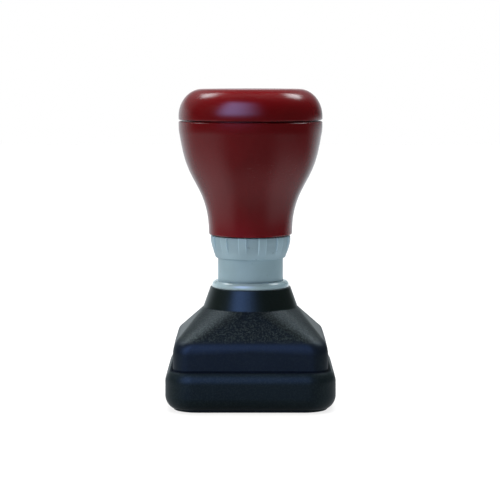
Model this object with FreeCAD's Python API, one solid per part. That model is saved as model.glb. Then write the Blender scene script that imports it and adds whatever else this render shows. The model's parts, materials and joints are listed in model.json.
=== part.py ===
import FreeCAD, Part
import math
import os

os.makedirs("parts", exist_ok=True)

Vec = FreeCAD.Vector
UP = Vec(0, 0, 1)

# All sizes are in millimetres. The origin is the middle of the foot, on the table, and Z points up.

# Nearness for finding an edge, and how far one piece of a body runs into the next
near = 0.01
bury = 0.5

# Square lower half
cover_half = 20.4
cover_wall = 1.65
cover_corner = 6.8
cover_slip = 0.15
skirt_wall = 1.6
skirt_corner = 4.0
wall_draft = 0.1
roof_lead = 0.1
roof_flat = 0.1
shoulder_round = 3.4
rib_depth = 0.55
rib_width = 1.6
rib_spacing = 12.0
rib_slip = 0.12
grip_rib_slip = 0.05
grip_rib_width = 6.0

# Heights of the shell, from the table upwards
foot_height = 0.7
foot_inset = 1.9
foot_bevel = 0.25
cover_floor = 0.95
ledge_rise = 1.85
ledge_width = 1.45
cover_overlap = 6.15
cover_foot_round = 3.6
cover_foot_rise = 0.7
cover_lip_round = 3.4
cover_lip_rise = 0.7
skirt_spare = 1.55
roof_rise = 7.55
roof_drop = 0.7
ceiling_thickness = 1.8
collar_rise = 4.85
stem_show = 5.6
ring_height = 5.45
ring_gap = 0.2
handle_height = 27.65
cap_gap = 0.3
cap_height = 7.55

# Round parts, from the axis outwards
ink_bore = 2.2
thread_radius = 3.6
rod_radius = 4.4
rod_slip = 0.08
spring_wire = 0.8
wire_sides = 7
spring_rod_gap = 0.8
spring_sleeve_gap = 0.68
sleeve_wall = 1.3
stem_slip = 0.05
bush_wall = 0.85
bush_slip = 0.04
collar_lip = 0.92
collar_flare = 1.72
flange_height = 1.65
flange_round = 1.1
flange_steps = 3
flange_inset = 0.4

# Adjuster ring
ring_top_wall = 1.85
ring_foot_wall = 0.6
ring_straight = 1.2
ring_bulge = 0.18
ring_foot_bevel = 0.4
field_count = 12
field_angle = 18.0
field_turn = 3.0
field_depth = 0.35
field_lip = 0.8
snap_wall = 0.5
snap_space = 0.25
snap_slip = 0.06
snap_bead = 0.14
snap_bead_height = 0.5
snap_depth = 1.6
snap_end_gap = 0.25
adjust_travel = 0.5

# Handle and cap; the waist is given as shares of the handle's height and of neck to knob
knob_radius = 17.5
neck_radius = 10.2
grip_curve = ((0.16, 0.04), (0.35, 0.245), (0.51, 0.555), (0.69, 0.823), (0.88, 0.97))
handle_wall = 2.0
handle_floor = 3.6
floor_recess = 1.2
hub_wall = 2.0
hub_height = 10.7
shoulder_height = 4.7
spigot_drop = 2.0
spline_width = 1.4
spline_slip = 0.1
spline_reach = 0.35
web_count = 6
web_width = 1.4
web_rise = 5.35
register_height = 1.7
register_wall = 1.2
register_slip = 0.05
cap_slip = 0.2
cap_wall = 1.6
cap_skirt_wall = 0.85
cap_crown = 0.1
cap_side = 0.85
cap_curve_run = 5.7
cap_rib_count = 6
cap_rib_width = 1.2
edge_bevel = 0.25

# Printing stack, from its face upwards
press_travel = 4.4
press_over = 0.4
stop_clearance = 0.1
die_height = 2.2
die_lip = 0.8
die_lip_width = 1.0
frame_wall = 1.0
frame_lip = 0.6
frame_slip = 0.1
pad_height = 2.4
spigot_height = 1.0
plate_height = 1.4
plate_corner = 2.0
lug_width = 5.0
lug_height = 0.8
lug_reach = 0.35
flange_plate = 1.0
flange_overhang = 3.1
screw_count = 3
screw_radius = 0.8
screw_head_radius = 1.5
screw_length = 2.8
screw_slot_depth = 0.35
screw_slot_width = 0.4
screw_angle = 30.0
channel_width = 1.2
channel_depth = 0.6
seal_height = 0.5
seal_width = 1.0
bush_floor = 1.2
nut_height = 2.4
nut_wall = 2.0
nut_notch = 2.0
washer_height = 0.4
spring_end_pitch = 1.3
spring_turns = 6
spring_closed_turns = 0.75

# Handle fastening and filler plug
handle_washer_height = 0.6
handle_nut_height = 3.0
handle_nut_flats = 11.0
rod_above_nut = 3.4
plug_head_radius = 4.3
plug_head_height = 2.6
plug_shank = 6.0
plug_slip = 0.08
plug_flutes = 8
plug_flute_radius = 0.5

# Heights worked out from the sizes above
floor_z = foot_height + cover_floor
seat_z = floor_z + ledge_rise
rim_z = seat_z + cover_overlap
skirt_show = press_travel + skirt_spare
shoulder_z = rim_z + skirt_show
roof_z = shoulder_z + roof_rise
ceiling_z = roof_z - ceiling_thickness
collar_z = roof_z + collar_rise
flange_z = collar_z + flange_height
ring_z = flange_z + stem_show
ring_top_z = ring_z + ring_height
handle_z = ring_top_z + ring_gap
handle_top_z = handle_z + handle_height
cap_z = handle_top_z + cap_gap
top_z = cap_z + cap_height

die_z = seat_z + press_travel - press_over
pad_z = die_z + die_height
spigot_z = pad_z + pad_height
plate_z = spigot_z + spigot_height
plate_top_z = plate_z + plate_height
foot_top_z = plate_top_z + flange_plate
screw_z = foot_top_z - screw_length
bush_z = foot_top_z + stop_clearance
bush_floor_z = bush_z + bush_floor
sleeve_z = bush_floor_z + press_travel + adjust_travel + stop_clearance
sleeve_top_z = ring_top_z - stop_clearance

recess_z = handle_z + floor_recess
cavity_z = recess_z + handle_floor
spring_seat_z = handle_z - spigot_drop
rod_shoulder_z = recess_z + shoulder_height
hub_z = recess_z + hub_height
washer_top_z = hub_z + handle_washer_height
nut_top_z = washer_top_z + handle_nut_height
rod_top_z = nut_top_z + rod_above_nut

# Radii and half widths worked out from the sizes above
skirt_half = cover_half - cover_wall - cover_slip
shoulder_half = skirt_half - wall_draft
inner_half = skirt_half - skirt_wall
plate_half = inner_half - rib_depth - rib_slip
frame_inner = plate_half - frame_wall
die_lip_half = frame_inner - frame_slip
die_half = die_lip_half - die_lip_width

screw_distance = rod_radius + flange_overhang / 2
spring_bore = rod_radius + spring_rod_gap
spring_radius = spring_bore + spring_wire / 2
sleeve_bore = spring_bore + spring_wire + spring_sleeve_gap
stem_radius = sleeve_bore + sleeve_wall
bush_bore = stem_radius + stem_slip
bush_radius = bush_bore + bush_wall
collar_bore = bush_radius + bush_slip
collar_radius = collar_bore + collar_lip
roof_radius = collar_radius + collar_flare
flange_radius = collar_radius - flange_inset
ring_bore = stem_radius + stem_slip
ring_radius = stem_radius + ring_top_wall
ring_foot_radius = stem_radius + ring_foot_wall
snap_radius = ring_bore + snap_space + snap_wall
ring_recess = snap_radius + snap_slip
ring_recess_z = ring_top_z - snap_depth
hub_radius = thread_radius + hub_wall
spigot_radius = sleeve_bore - spline_slip
register_radius = knob_radius - cap_skirt_wall - register_slip


def at(radius, height):
    return Vec(radius, 0, height)


def outline(start, *steps):
    """Face in the X-Z plane; a step is the end of a line, or the middle and the end of an arc."""
    edges = []
    here = start
    for step in steps + (start,):
        if isinstance(step[0], tuple):
            middle, end = step
            edges.append(Part.Arc(at(*here), at(*middle), at(*end)).toShape())
        else:
            end = step
            if end != here:
                edges.append(Part.LineSegment(at(*here), at(*end)).toShape())
        here = end
    return Part.Face(Part.Wire(edges))


def turned(face):
    return face.revolve(Vec(0, 0, 0), UP, 360)


def disc(radius, low, high):
    return Part.makeCylinder(radius, high - low, Vec(0, 0, low))


def tube(bore, radius, low, high):
    return disc(radius, low, high).cut(disc(bore, low, high))


def bar(start, end, low, high, width, middle=0.0):
    """Box that runs out along X from one distance to another."""
    return Part.makeBox(end - start, width, high - low, Vec(start, middle - width / 2, low))


def around(shape, count, first=0.0):
    """Copies of a shape at equal angles about the axis."""
    copies = []
    for number in range(count):
        copy = shape.copy()
        copy.rotate(Vec(0, 0, 0), UP, first + 360.0 * number / count)
        copies.append(copy)
    return copies


def rounded_square(half, corner, height):
    """Square with round corners; its edges run side, corner, side and so on."""
    edges = []
    flat = half - corner
    bend = corner * math.sqrt(0.5)
    for quarter in range(4):
        turn = FreeCAD.Rotation(UP, 90 * quarter)
        first = turn.multVec(Vec(half, -flat, height))
        last = turn.multVec(Vec(half, flat, height))
        middle = turn.multVec(Vec(flat + bend, flat + bend, height))
        after = turn.multVec(Vec(flat, half, height))
        edges.append(Part.LineSegment(first, last).toShape())
        edges.append(Part.Arc(last, middle, after).toShape())
    return Part.Wire(edges)


def prism(half, corner, low, high):
    return Part.Face(rounded_square(half, corner, low)).extrude(Vec(0, 0, high - low))


def ruled(*wires):
    return Part.makeLoft(list(wires), True, True)


def frame_of(outer, outer_corner, inner, inner_corner, low, high):
    return prism(outer, outer_corner, low, high).cut(prism(inner, inner_corner, low, high))


def skirt_form(inset, drop):
    """Drafted wall under a roof that runs from the square shoulder to a circle inside the collar."""
    corner = skirt_corner - inset
    shoulder = shoulder_z - drop
    end = roof_radius - roof_lead * (shoulder_half - roof_radius) / roof_rise - inset / 2
    wall = ruled(
        rounded_square(skirt_half - inset, corner, seat_z),
        rounded_square(shoulder_half - inset, corner, shoulder),
    )
    roof = ruled(
        rounded_square(shoulder_half - inset, corner, shoulder),
        rounded_square(end, end - roof_flat, roof_z + roof_lead - drop),
    )
    return wall.fuse(roof).removeSplitter()


def edges_at(shape, height):
    """Edges that lie level at one height."""
    found = []
    for edge in shape.Edges:
        if all(abs(vertex.Z - height) < near for vertex in edge.Vertexes):
            found.append(edge)
    return found


def skirt_housing():
    """Square skirt, hipped roof and conical collar in one hollow moulding."""
    outside = skirt_form(0, 0)
    outside = outside.makeFillet(shoulder_round, edges_at(outside, shoulder_z))
    inside = skirt_form(skirt_wall, roof_drop).common(prism(skirt_half, skirt_corner, seat_z, ceiling_z))
    body = outside.cut(inside)
    collar = turned(
        outline(
            (0, ceiling_z),
            (roof_radius, ceiling_z),
            (roof_radius, roof_z),
            (collar_radius, collar_z),
            (0, collar_z),
        )
    )
    body = body.fuse(collar)
    rib_outer = skirt_half - skirt_wall / 2
    rib_inner = inner_half - rib_depth
    rib_low = seat_z + press_over
    rib_high = shoulder_z - shoulder_round
    for side in (-1, 1):
        rib = bar(rib_inner, rib_outer, rib_low, rib_high, rib_width, side * rib_spacing)
        for copy in around(rib, 4):
            body = body.fuse(copy)
    return body.cut(disc(collar_bore, seat_z, collar_z)).removeSplitter()


def guide_bush():
    """Flanged guide for the stem, with a floor that carries the spring."""
    edge = []
    for step in range(flange_steps + 1):
        turn = math.pi / 2 * step / flange_steps
        inward = flange_round * (1 - math.cos(turn))
        edge.append((flange_radius - inward, flange_z - flange_round * (1 - math.sin(turn))))
    shell = outline(
        (rod_radius + rod_slip, bush_z),
        (bush_radius, bush_z),
        (bush_radius, collar_z),
        (flange_radius, collar_z),
        *edge,
        (bush_bore, flange_z),
        (bush_bore, bush_floor_z),
        (rod_radius + rod_slip, bush_floor_z),
    )
    return turned(shell)


def bush_nut():
    """Ring nut that draws the bush down on the collar from inside the roof."""
    low = ceiling_z - nut_height
    outer = bush_radius + nut_wall
    nut = tube(bush_radius + bush_slip, outer, low, ceiling_z)
    notch = bar(outer - nut_wall / 2, outer + nut_wall / 2, low, low + nut_height / 2, nut_notch)
    for copy in around(notch, 4, 45.0):
        nut = nut.cut(copy)
    return nut


def spring_washer():
    return tube(rod_radius + rod_slip, spigot_radius, bush_floor_z, bush_floor_z + washer_height)


def arc_between(start, tangent, end):
    """Arc that leaves its start along a tangent."""
    chord = end - start
    bend = tangent.getAngle(chord)
    across = (tangent + chord.normalize()).normalize()
    middle = start + across * ((end - start).Length / 2 / math.cos(bend / 2))
    return Part.Arc(start, middle, end).toShape()


def biarc(start, start_tangent, end, end_tangent):
    """Two arcs that meet with one tangent."""
    chord = end - start
    both = start_tangent + end_tangent
    spread = 2 * (1 - start_tangent.dot(end_tangent))
    along = chord.dot(both)
    reach = (math.sqrt(along * along + spread * chord.dot(chord)) - along) / spread
    joint = (start + end + (start_tangent - end_tangent) * reach) * 0.5
    joint_tangent = (joint - start - start_tangent * reach).normalize()
    return arc_between(start, start_tangent, joint), arc_between(joint, joint_tangent, end)


def spring_path():
    """Half-turn points and tangents of a spring whose end turns close up."""
    low = bush_floor_z + washer_height + spring_wire / 2
    high = spring_seat_z - spring_wire / 2
    quarters = 4 * spring_turns
    open_share = []
    for number in range(quarters + 1):
        from_end = min(number, quarters - number) / 4
        open_share.append(min(max(from_end - spring_closed_turns, 0.0), 1.0))
    means = [(a + b) / 2 for a, b in zip(open_share, open_share[1:])]
    opening = (high - low - spring_end_pitch * spring_turns) / (sum(means) / 4)
    points = []
    height = low
    for number in range(quarters + 1):
        if number:
            height += (spring_end_pitch + opening * means[number - 1]) / 4
        turn = math.pi / 2 * number
        rise = (spring_end_pitch + opening * open_share[number]) / (2 * math.pi)
        point = Vec(spring_radius * math.cos(turn), spring_radius * math.sin(turn), height)
        tangent = Vec(-spring_radius * math.sin(turn), spring_radius * math.cos(turn), rise)
        if number % 2 == 0:
            points.append((point, tangent.normalize()))
    return points


def return_spring():
    """Round-wire compression spring, one unbroken tube."""
    path = spring_path()
    edges = []
    for (start, tangent), (end, end_tangent) in zip(path, path[1:]):
        edges.extend(biarc(start, tangent, end, end_tangent))
    spine = Part.Wire(edges)
    start, tangent = path[0]
    across = tangent.cross(UP).normalize() * (spring_wire / 2)
    corners = []
    for number in range(wire_sides + 1):
        turn = FreeCAD.Rotation(tangent, 360 * number / wire_sides)
        corners.append(start + turn.multVec(across))
    print("spring gap to itself", round(coil_gap(edges), 3))
    return spine.makePipeShell([Part.makePolygon(corners)], True, False)


def coil_gap(edges):
    """Least gap between neighbouring turns, on points along the wire."""
    steps = 12
    points = []
    for edge in edges:
        points.extend(edge.discretize(steps + 1)[:-1])
    per_turn = 4 * steps
    gaps = []
    for number, point in enumerate(points):
        for other in points[number + per_turn // 2:number + 3 * per_turn // 2]:
            gaps.append(point.distanceToPoint(other) - spring_wire)
    return min(gaps)


def stem_sleeve():
    """Grey stem: it slides in the bush, and its foot is the stop of the stroke."""
    sleeve = tube(sleeve_bore, stem_radius, sleeve_z, sleeve_top_z)
    slot_low = spring_seat_z - adjust_travel - stop_clearance
    slot_end = sleeve_bore + spline_reach + spline_slip
    slot_width = spline_width + 2 * spline_slip
    slot = bar(sleeve_bore - bury, slot_end, slot_low, sleeve_top_z, slot_width)
    for copy in around(slot, 2):
        sleeve = sleeve.cut(copy)
    return sleeve


def ring_side(height):
    """Radius of the ring's bulged outside at a height below its straight top."""
    start = ring_top_z - ring_straight
    end = ring_z + ring_foot_bevel
    share = (start - height) / (start - end)
    bulge = ring_bulge * 4 * share * (1 - share)
    return ring_radius + (ring_foot_radius - ring_radius) * share + bulge


def adjuster_ring():
    """Barrel-shaped ring with recessed finger fields between raised ribs."""
    top_end = ring_top_z - ring_straight
    foot_end = ring_z + ring_foot_bevel
    middle_z = (top_end + foot_end) / 2
    body = turned(
        outline(
            (ring_bore, ring_z),
            (ring_foot_radius - ring_foot_bevel, ring_z),
            (ring_foot_radius, foot_end),
            ((ring_side(middle_z), middle_z), (ring_radius, top_end)),
            (ring_radius, ring_top_z),
            (ring_recess, ring_top_z),
            (ring_recess, ring_recess_z),
            (ring_bore, ring_recess_z),
        )
    )
    groove_z = ring_recess_z + snap_end_gap
    groove = tube(
        ring_bore,
        ring_recess + snap_bead,
        groove_z - snap_slip,
        groove_z + snap_bead_height + snap_slip,
    )
    field_low = ring_z + field_lip
    low_radius = ring_side(field_low)
    high_radius = ring_radius - field_depth
    field_middle = (ring_side(middle_z) - field_depth, middle_z)
    outer = ring_radius + field_depth
    field = outline(
        (low_radius, field_low),
        (field_middle, (high_radius, top_end)),
        (high_radius, ring_top_z),
        (outer, ring_top_z),
        (outer, field_low),
    )
    field.rotate(Vec(0, 0, 0), UP, -field_angle / 2)
    cutter = field.revolve(Vec(0, 0, 0), UP, field_angle)
    body = body.cut(groove)
    half_step = 180.0 / field_count
    for copy in around(cutter, field_count, half_step):
        body = body.cut(copy)
    body.rotate(Vec(0, 0, 0), UP, field_turn - half_step)
    return body


def grip_points(shrink, low, high):
    """Waisted side of the handle from one height to another, as points."""
    rise = handle_top_z - handle_z
    points = [at(neck_radius - shrink, low)]
    for height_share, radius_share in grip_curve:
        height = handle_z + rise * height_share
        if low + edge_bevel < height < high - edge_bevel:
            radius = neck_radius + (knob_radius - neck_radius) * radius_share
            points.append(at(radius - shrink, height))
    points.append(at(knob_radius - shrink, high))
    return points


def grip_solid():
    """Outside of the handle: one smooth curve between two small bevels."""
    low = handle_z + edge_bevel
    high = handle_top_z - edge_bevel
    curve = Part.BSplineCurve()
    curve.interpolate(Points=grip_points(0, low, high), InitialTangent=UP, FinalTangent=UP)
    corners = [
        at(knob_radius, high),
        at(knob_radius - edge_bevel, handle_top_z),
        at(0, handle_top_z),
        at(0, handle_z),
        at(neck_radius - edge_bevel, handle_z),
        at(neck_radius, low),
    ]
    return turned(Part.Face(Part.Wire([curve.toShape(), *Part.makePolygon(corners).Edges])))


def grip_core():
    """Space inside the handle, with straight sides between the same heights."""
    points = grip_points(handle_wall, cavity_z, handle_top_z)
    corners = [at(0, cavity_z), *points, at(0, handle_top_z), at(0, cavity_z)]
    return turned(Part.Face(Part.makePolygon(corners)))


def circle_edges(shape, radius, height):
    """Edges of a turned shape that lie on one circle about the axis."""
    found = []
    for edge in shape.Edges:
        if edge.Degenerated or not isinstance(edge.Curve, Part.Circle):
            continue
        curve = edge.Curve
        if abs(curve.Radius - radius) < near and abs(curve.Center.z - height) < near:
            found.append(edge)
    return found


def handle_body():
    """Hollow waisted handle with a webbed hub for the rod and a snap skirt for the ring."""
    outer = grip_solid()
    hub = disc(hub_radius, cavity_z, hub_z)
    web_low = cavity_z - handle_wall
    web_face = Part.Face(
        Part.makePolygon(
            [
                Vec(0, -web_width / 2, web_low),
                Vec(0, -web_width / 2, hub_z - handle_wall),
                Vec(hub_radius, -web_width / 2, hub_z - handle_wall),
                Vec(knob_radius, -web_width / 2, hub_z + web_rise),
                Vec(knob_radius, -web_width / 2, web_low),
                Vec(0, -web_width / 2, web_low),
            ]
        )
    )
    web = web_face.extrude(Vec(0, web_width, 0))
    webs = hub.multiFuse(around(web, web_count, 30.0))
    body = outer.cut(grip_core()).fuse(webs.common(outer))
    register = tube(
        register_radius - register_wall,
        register_radius,
        handle_top_z - register_height,
        handle_top_z + register_height,
    )
    body = body.fuse(register)
    body = body.cut(disc(register_radius - register_wall, handle_top_z - register_height, top_z))
    body = body.cut(disc(snap_radius, handle_z, recess_z))
    return body.fuse(handle_underside()).cut(rod_hole()).removeSplitter()


def handle_underside():
    """Spring spigot with two splines, and the beaded skirt that the ring snaps on."""
    root_z = recess_z + handle_floor / 2
    spigot = disc(spigot_radius, spring_seat_z, root_z)
    spline = bar(spigot_radius - bury, sleeve_bore + spline_reach, spring_seat_z, root_z, spline_width)
    skirt_low = ring_recess_z + snap_end_gap
    bead_middle = skirt_low + snap_bead_height / 2
    skirt = turned(
        outline(
            (snap_radius - snap_wall, skirt_low),
            (snap_radius, skirt_low),
            (snap_radius + snap_bead, bead_middle),
            (snap_radius, skirt_low + snap_bead_height),
            (snap_radius, root_z),
            (snap_radius - snap_wall, root_z),
        )
    )
    return spigot.multiFuse(around(spline, 2)).fuse(skirt)


def rod_hole():
    low = disc(rod_radius + rod_slip / 2, spring_seat_z, rod_shoulder_z)
    return low.fuse(disc(thread_radius + rod_slip / 2, rod_shoulder_z, hub_z))


def feed_rod():
    """Hollow rod from the print plate to the filler plug."""
    foot_radius = rod_radius + flange_overhang
    rod = turned(
        outline(
            (ink_bore, plate_top_z),
            (foot_radius, plate_top_z),
            (foot_radius, foot_top_z),
            (rod_radius, foot_top_z),
            (rod_radius, rod_shoulder_z),
            (thread_radius, rod_shoulder_z),
            (thread_radius, rod_top_z - edge_bevel),
            (thread_radius - edge_bevel, rod_top_z),
            (ink_bore, rod_top_z),
        )
    )
    for copy in screws(rod_slip):
        rod = rod.cut(copy)
    return rod


def screws(extra):
    """Countersunk screws through the rod's foot, drawn larger for their holes."""
    head = screw_head_radius - screw_radius
    head_z = foot_top_z - head
    screw = Part.makeCone(screw_radius + extra, screw_head_radius + extra, head, Vec(0, 0, head_z))
    screw = screw.fuse(disc(screw_radius + extra, screw_z - extra, head_z))
    screw.translate(Vec(screw_distance, 0, 0))
    return around(screw, screw_count, screw_angle)


def mount_screws():
    made = []
    start = screw_distance - screw_radius
    end = screw_distance + screw_radius
    slot = bar(start, end, foot_top_z - screw_slot_depth, foot_top_z, screw_slot_width)
    for screw, cut in zip(screws(0), around(slot, screw_count, screw_angle)):
        made.append(screw.cut(cut))
    return Part.makeCompound(made)


def rod_seal():
    """Flat gasket between the rod's foot and the plate."""
    return tube(ink_bore, ink_bore + seal_width, plate_top_z - seal_height, plate_top_z)


def die_mount():
    """Plate that carries the ink pad, with feed channels on its underside."""
    plate = prism(plate_half, plate_corner, plate_z, plate_top_z)
    spigot = prism(die_lip_half, plate_corner / 2, spigot_z, plate_z)
    body = plate.fuse(spigot)
    lug = bar(0, die_lip_half + lug_reach, plate_z - lug_height, plate_z, lug_width)
    body = body.multiFuse(around(lug, 4))
    channel = bar(-die_half, die_half, spigot_z, spigot_z + channel_depth, channel_width)
    for copy in around(channel, 4, 45.0)[:2] + around(channel, 4)[:2]:
        body = body.cut(copy)
    body = body.cut(disc(ink_bore + seal_width + rod_slip, plate_top_z - seal_height, plate_top_z))
    body = body.cut(disc(ink_bore / 2, spigot_z, plate_top_z))
    hole = disc(screw_radius + rod_slip / 2, screw_z - rod_slip, plate_top_z)
    hole.translate(Vec(screw_distance, 0, 0))
    for copy in around(hole, screw_count, screw_angle):
        body = body.cut(copy)
    return body.removeSplitter()


def ink_pad():
    return prism(die_lip_half, plate_corner / 2, pad_z, spigot_z)


def stamp_die():
    """Porous print face with a lip that the frame holds."""
    face = prism(die_half, plate_corner / 2, die_z, pad_z - die_lip)
    face = face.makeChamfer(edge_bevel, edges_at(face, die_z))
    return face.fuse(prism(die_lip_half, plate_corner / 2, pad_z - die_lip, pad_z)).removeSplitter()


def die_frame():
    """Snap-on bezel that holds the die and the pad against the plate."""
    low = pad_z - die_lip - frame_lip
    window = die_half + frame_slip
    wall = frame_of(plate_half, plate_corner, frame_inner, plate_corner / 2, pad_z - die_lip, plate_z)
    lip = frame_of(plate_half, plate_corner, window, plate_corner / 2, low, pad_z - die_lip)
    body = wall.fuse(lip)
    opening_low = plate_z - lug_height - frame_slip
    opening = bar(die_lip_half, plate_half + bury, opening_low, plate_z, lug_width + 2 * frame_slip)
    for copy in around(opening, 4):
        body = body.cut(copy)
    return body.removeSplitter()


def handle_washer():
    return tube(thread_radius + rod_slip, hub_radius, hub_z, washer_top_z)


def handle_nut():
    corner = handle_nut_flats / math.sqrt(3)
    points = []
    for number in range(7):
        turn = math.radians(60 * number)
        points.append(Vec(corner * math.cos(turn), corner * math.sin(turn), washer_top_z))
    nut = Part.Face(Part.makePolygon(points)).extrude(Vec(0, 0, handle_nut_height))
    return nut.cut(disc(thread_radius + rod_slip / 2, washer_top_z, nut_top_z))


def filler_plug():
    """Fluted plug that closes the ink bore under the cap."""
    low = rod_top_z + seal_height
    head = disc(plug_head_radius, low, low + plug_head_height)
    head = head.makeChamfer(edge_bevel, circle_edges(head, plug_head_radius, low + plug_head_height))
    flute = disc(plug_flute_radius, low, low + plug_head_height)
    flute.translate(Vec(plug_head_radius + plug_flute_radius / 2, 0, 0))
    for copy in around(flute, plug_flutes):
        head = head.cut(copy)
    shank_radius = ink_bore - plug_slip
    shank = disc(shank_radius, rod_top_z - plug_shank, low)
    shank = shank.makeChamfer(edge_bevel, circle_edges(shank, shank_radius, rod_top_z - plug_shank))
    return head.fuse(shank)


def plug_seal():
    """Flat gasket under the head of the filler plug."""
    return tube(ink_bore, ink_bore + seal_width, rod_top_z, rod_top_z + seal_height)


def quarter_ellipse(flat, low, run, rise):
    """Curve from a straight side over to a level top."""
    pull = 4 * (math.sqrt(2) - 1) / 3
    poles = [
        at(flat + run, low),
        at(flat + run, low + rise * pull),
        at(flat + run * pull, low + rise),
        at(flat, low + rise),
    ]
    curve = Part.BezierCurve()
    curve.setPoles(poles)
    return curve.toShape()


def cap_dome():
    """Straight side, elliptic shoulder and slightly crowned top."""
    side_z = cap_z + cap_side
    flat = knob_radius - cap_curve_run
    brow = top_z - cap_crown
    crown_radius = (flat * flat + cap_crown * cap_crown) / (2 * cap_crown)
    tilt = math.asin(flat / crown_radius) / 2
    crown_middle = (crown_radius * math.sin(tilt), top_z - crown_radius * (1 - math.cos(tilt)))
    side = Part.makePolygon(
        [
            at(0, top_z),
            at(0, cap_z),
            at(knob_radius - edge_bevel, cap_z),
            at(knob_radius, cap_z + edge_bevel),
            at(knob_radius, side_z),
        ]
    )
    shoulder = quarter_ellipse(flat, side_z, cap_curve_run, brow - side_z)
    crown = Part.Arc(at(flat, brow), at(*crown_middle), at(0, top_z)).toShape()
    return turned(Part.Face(Part.Wire([*side.Edges, shoulder, crown])))


def handle_cap():
    """Push-on cap over the handle's mouth."""
    outer = cap_dome()
    register_z = handle_top_z + register_height
    mouth_radius = register_radius + cap_slip
    core_radius = knob_radius - cap_wall
    core = turned(
        outline(
            (0, cap_z),
            (mouth_radius, cap_z),
            (mouth_radius, register_z + cap_gap),
            (core_radius, register_z + cap_gap),
            (core_radius - cap_curve_run, top_z - cap_wall),
            (0, top_z - cap_wall),
        )
    )
    cap = outer.cut(core)
    rib_start = register_radius + register_slip
    rib = bar(rib_start, rib_start + cap_skirt_wall, cap_z + edge_bevel, register_z, cap_rib_width)
    for copy in around(rib, cap_rib_count):
        cap = cap.fuse(copy.common(outer))
    return cap.removeSplitter()


def dust_cover():
    """Tray that closes the print mouth; the skirt stands on its inner ledge."""
    inner = skirt_half + cover_slip
    inner_corner = skirt_corner + cover_slip
    corner = cover_corner
    low = foot_height - cover_foot_rise
    high = rim_z + cover_lip_rise
    body = prism(cover_half, corner, low, high)
    body = body.makeFillet(cover_foot_round, edges_at(body, low))
    body = body.makeFillet(cover_lip_round, edges_at(body, high))
    body = body.common(prism(cover_half, corner, foot_height, rim_z))
    foot = prism(cover_half - foot_inset, corner - foot_inset / 2, 0, floor_z)
    body = body.fuse(foot.makeChamfer(foot_bevel, edges_at(foot, 0)))
    body = body.cut(prism(inner, inner_corner, seat_z, rim_z))
    body = body.cut(prism(inner - ledge_width, inner_corner - ledge_width, floor_z, seat_z))
    rib_start = skirt_half + grip_rib_slip
    rib = bar(rib_start, inner + cover_wall / 2, seat_z, rim_z - cover_lip_round, grip_rib_width)
    for copy in around(rib, 4):
        body = body.fuse(copy)
    return body.removeSplitter()


NODES = {
    "dust_cover": dust_cover,
    "skirt_housing": skirt_housing,
    "guide_bush": guide_bush,
    "bush_nut": bush_nut,
    "spring_washer": spring_washer,
    "return_spring": return_spring,
    "stem_sleeve": stem_sleeve,
    "adjuster_ring": adjuster_ring,
    "handle_body": handle_body,
    "handle_washer": handle_washer,
    "handle_nut": handle_nut,
    "feed_rod": feed_rod,
    "rod_seal": rod_seal,
    "mount_screws": mount_screws,
    "die_mount": die_mount,
    "ink_pad": ink_pad,
    "stamp_die": stamp_die,
    "die_frame": die_frame,
    "filler_plug": filler_plug,
    "plug_seal": plug_seal,
    "handle_cap": handle_cap,
}

for name, make in NODES.items():
    shape = make()
    print(name, len(shape.Solids), round(shape.Volume, 1), shape.isValid())
    shape.exportStep(os.path.join("parts", name + ".step"))
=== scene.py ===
# %% [markdown]
# # A pre-inked hand stamp, dressed for its picture
# The solids of this stamp come from a CAD program, where every size, joint and fit is settled.
# This lesson loads them as a fixed frame and gives them their looks: rounded moulded edges, a
# fluted grip ring, grained black and polished burgundy plastic, and a studio to see it all in.
# Every piece made here rides on a CAD body by name, so it moves when the stamp is pressed or opened.

# %% Load the frame
import json
import math

import bpy
from mathutils import Matrix, Vector


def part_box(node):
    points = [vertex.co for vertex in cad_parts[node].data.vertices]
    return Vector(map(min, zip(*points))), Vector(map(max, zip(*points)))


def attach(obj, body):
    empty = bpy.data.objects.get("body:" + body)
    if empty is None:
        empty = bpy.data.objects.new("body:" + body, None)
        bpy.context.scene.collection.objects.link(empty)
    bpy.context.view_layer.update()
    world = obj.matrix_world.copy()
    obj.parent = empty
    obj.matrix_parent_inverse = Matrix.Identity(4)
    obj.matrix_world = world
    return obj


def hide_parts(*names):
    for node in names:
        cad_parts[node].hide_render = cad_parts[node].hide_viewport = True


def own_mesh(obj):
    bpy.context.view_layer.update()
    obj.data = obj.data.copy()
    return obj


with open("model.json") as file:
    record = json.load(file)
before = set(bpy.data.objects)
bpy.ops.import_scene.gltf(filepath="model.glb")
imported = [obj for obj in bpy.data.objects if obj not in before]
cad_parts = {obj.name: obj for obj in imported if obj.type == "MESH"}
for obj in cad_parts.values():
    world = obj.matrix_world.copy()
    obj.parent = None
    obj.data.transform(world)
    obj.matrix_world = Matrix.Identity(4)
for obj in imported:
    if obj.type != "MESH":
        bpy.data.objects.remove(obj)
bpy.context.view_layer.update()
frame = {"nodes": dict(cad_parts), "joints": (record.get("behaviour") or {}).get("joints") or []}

MM = 0.001

# %% [markdown]
# ## Node maths as sums
# A procedural plastic is mostly arithmetic on patterns: a noise is stretched, cut off, blended and
# handed on. Wired by hand that is slow to read. Here a small class wraps a socket and overloads
# + - * /, so that a line of Python adds the nodes. One method adds any other node, in materials,
# the world and Geometry Nodes trees alike: its settings first, then its inputs.

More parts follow.
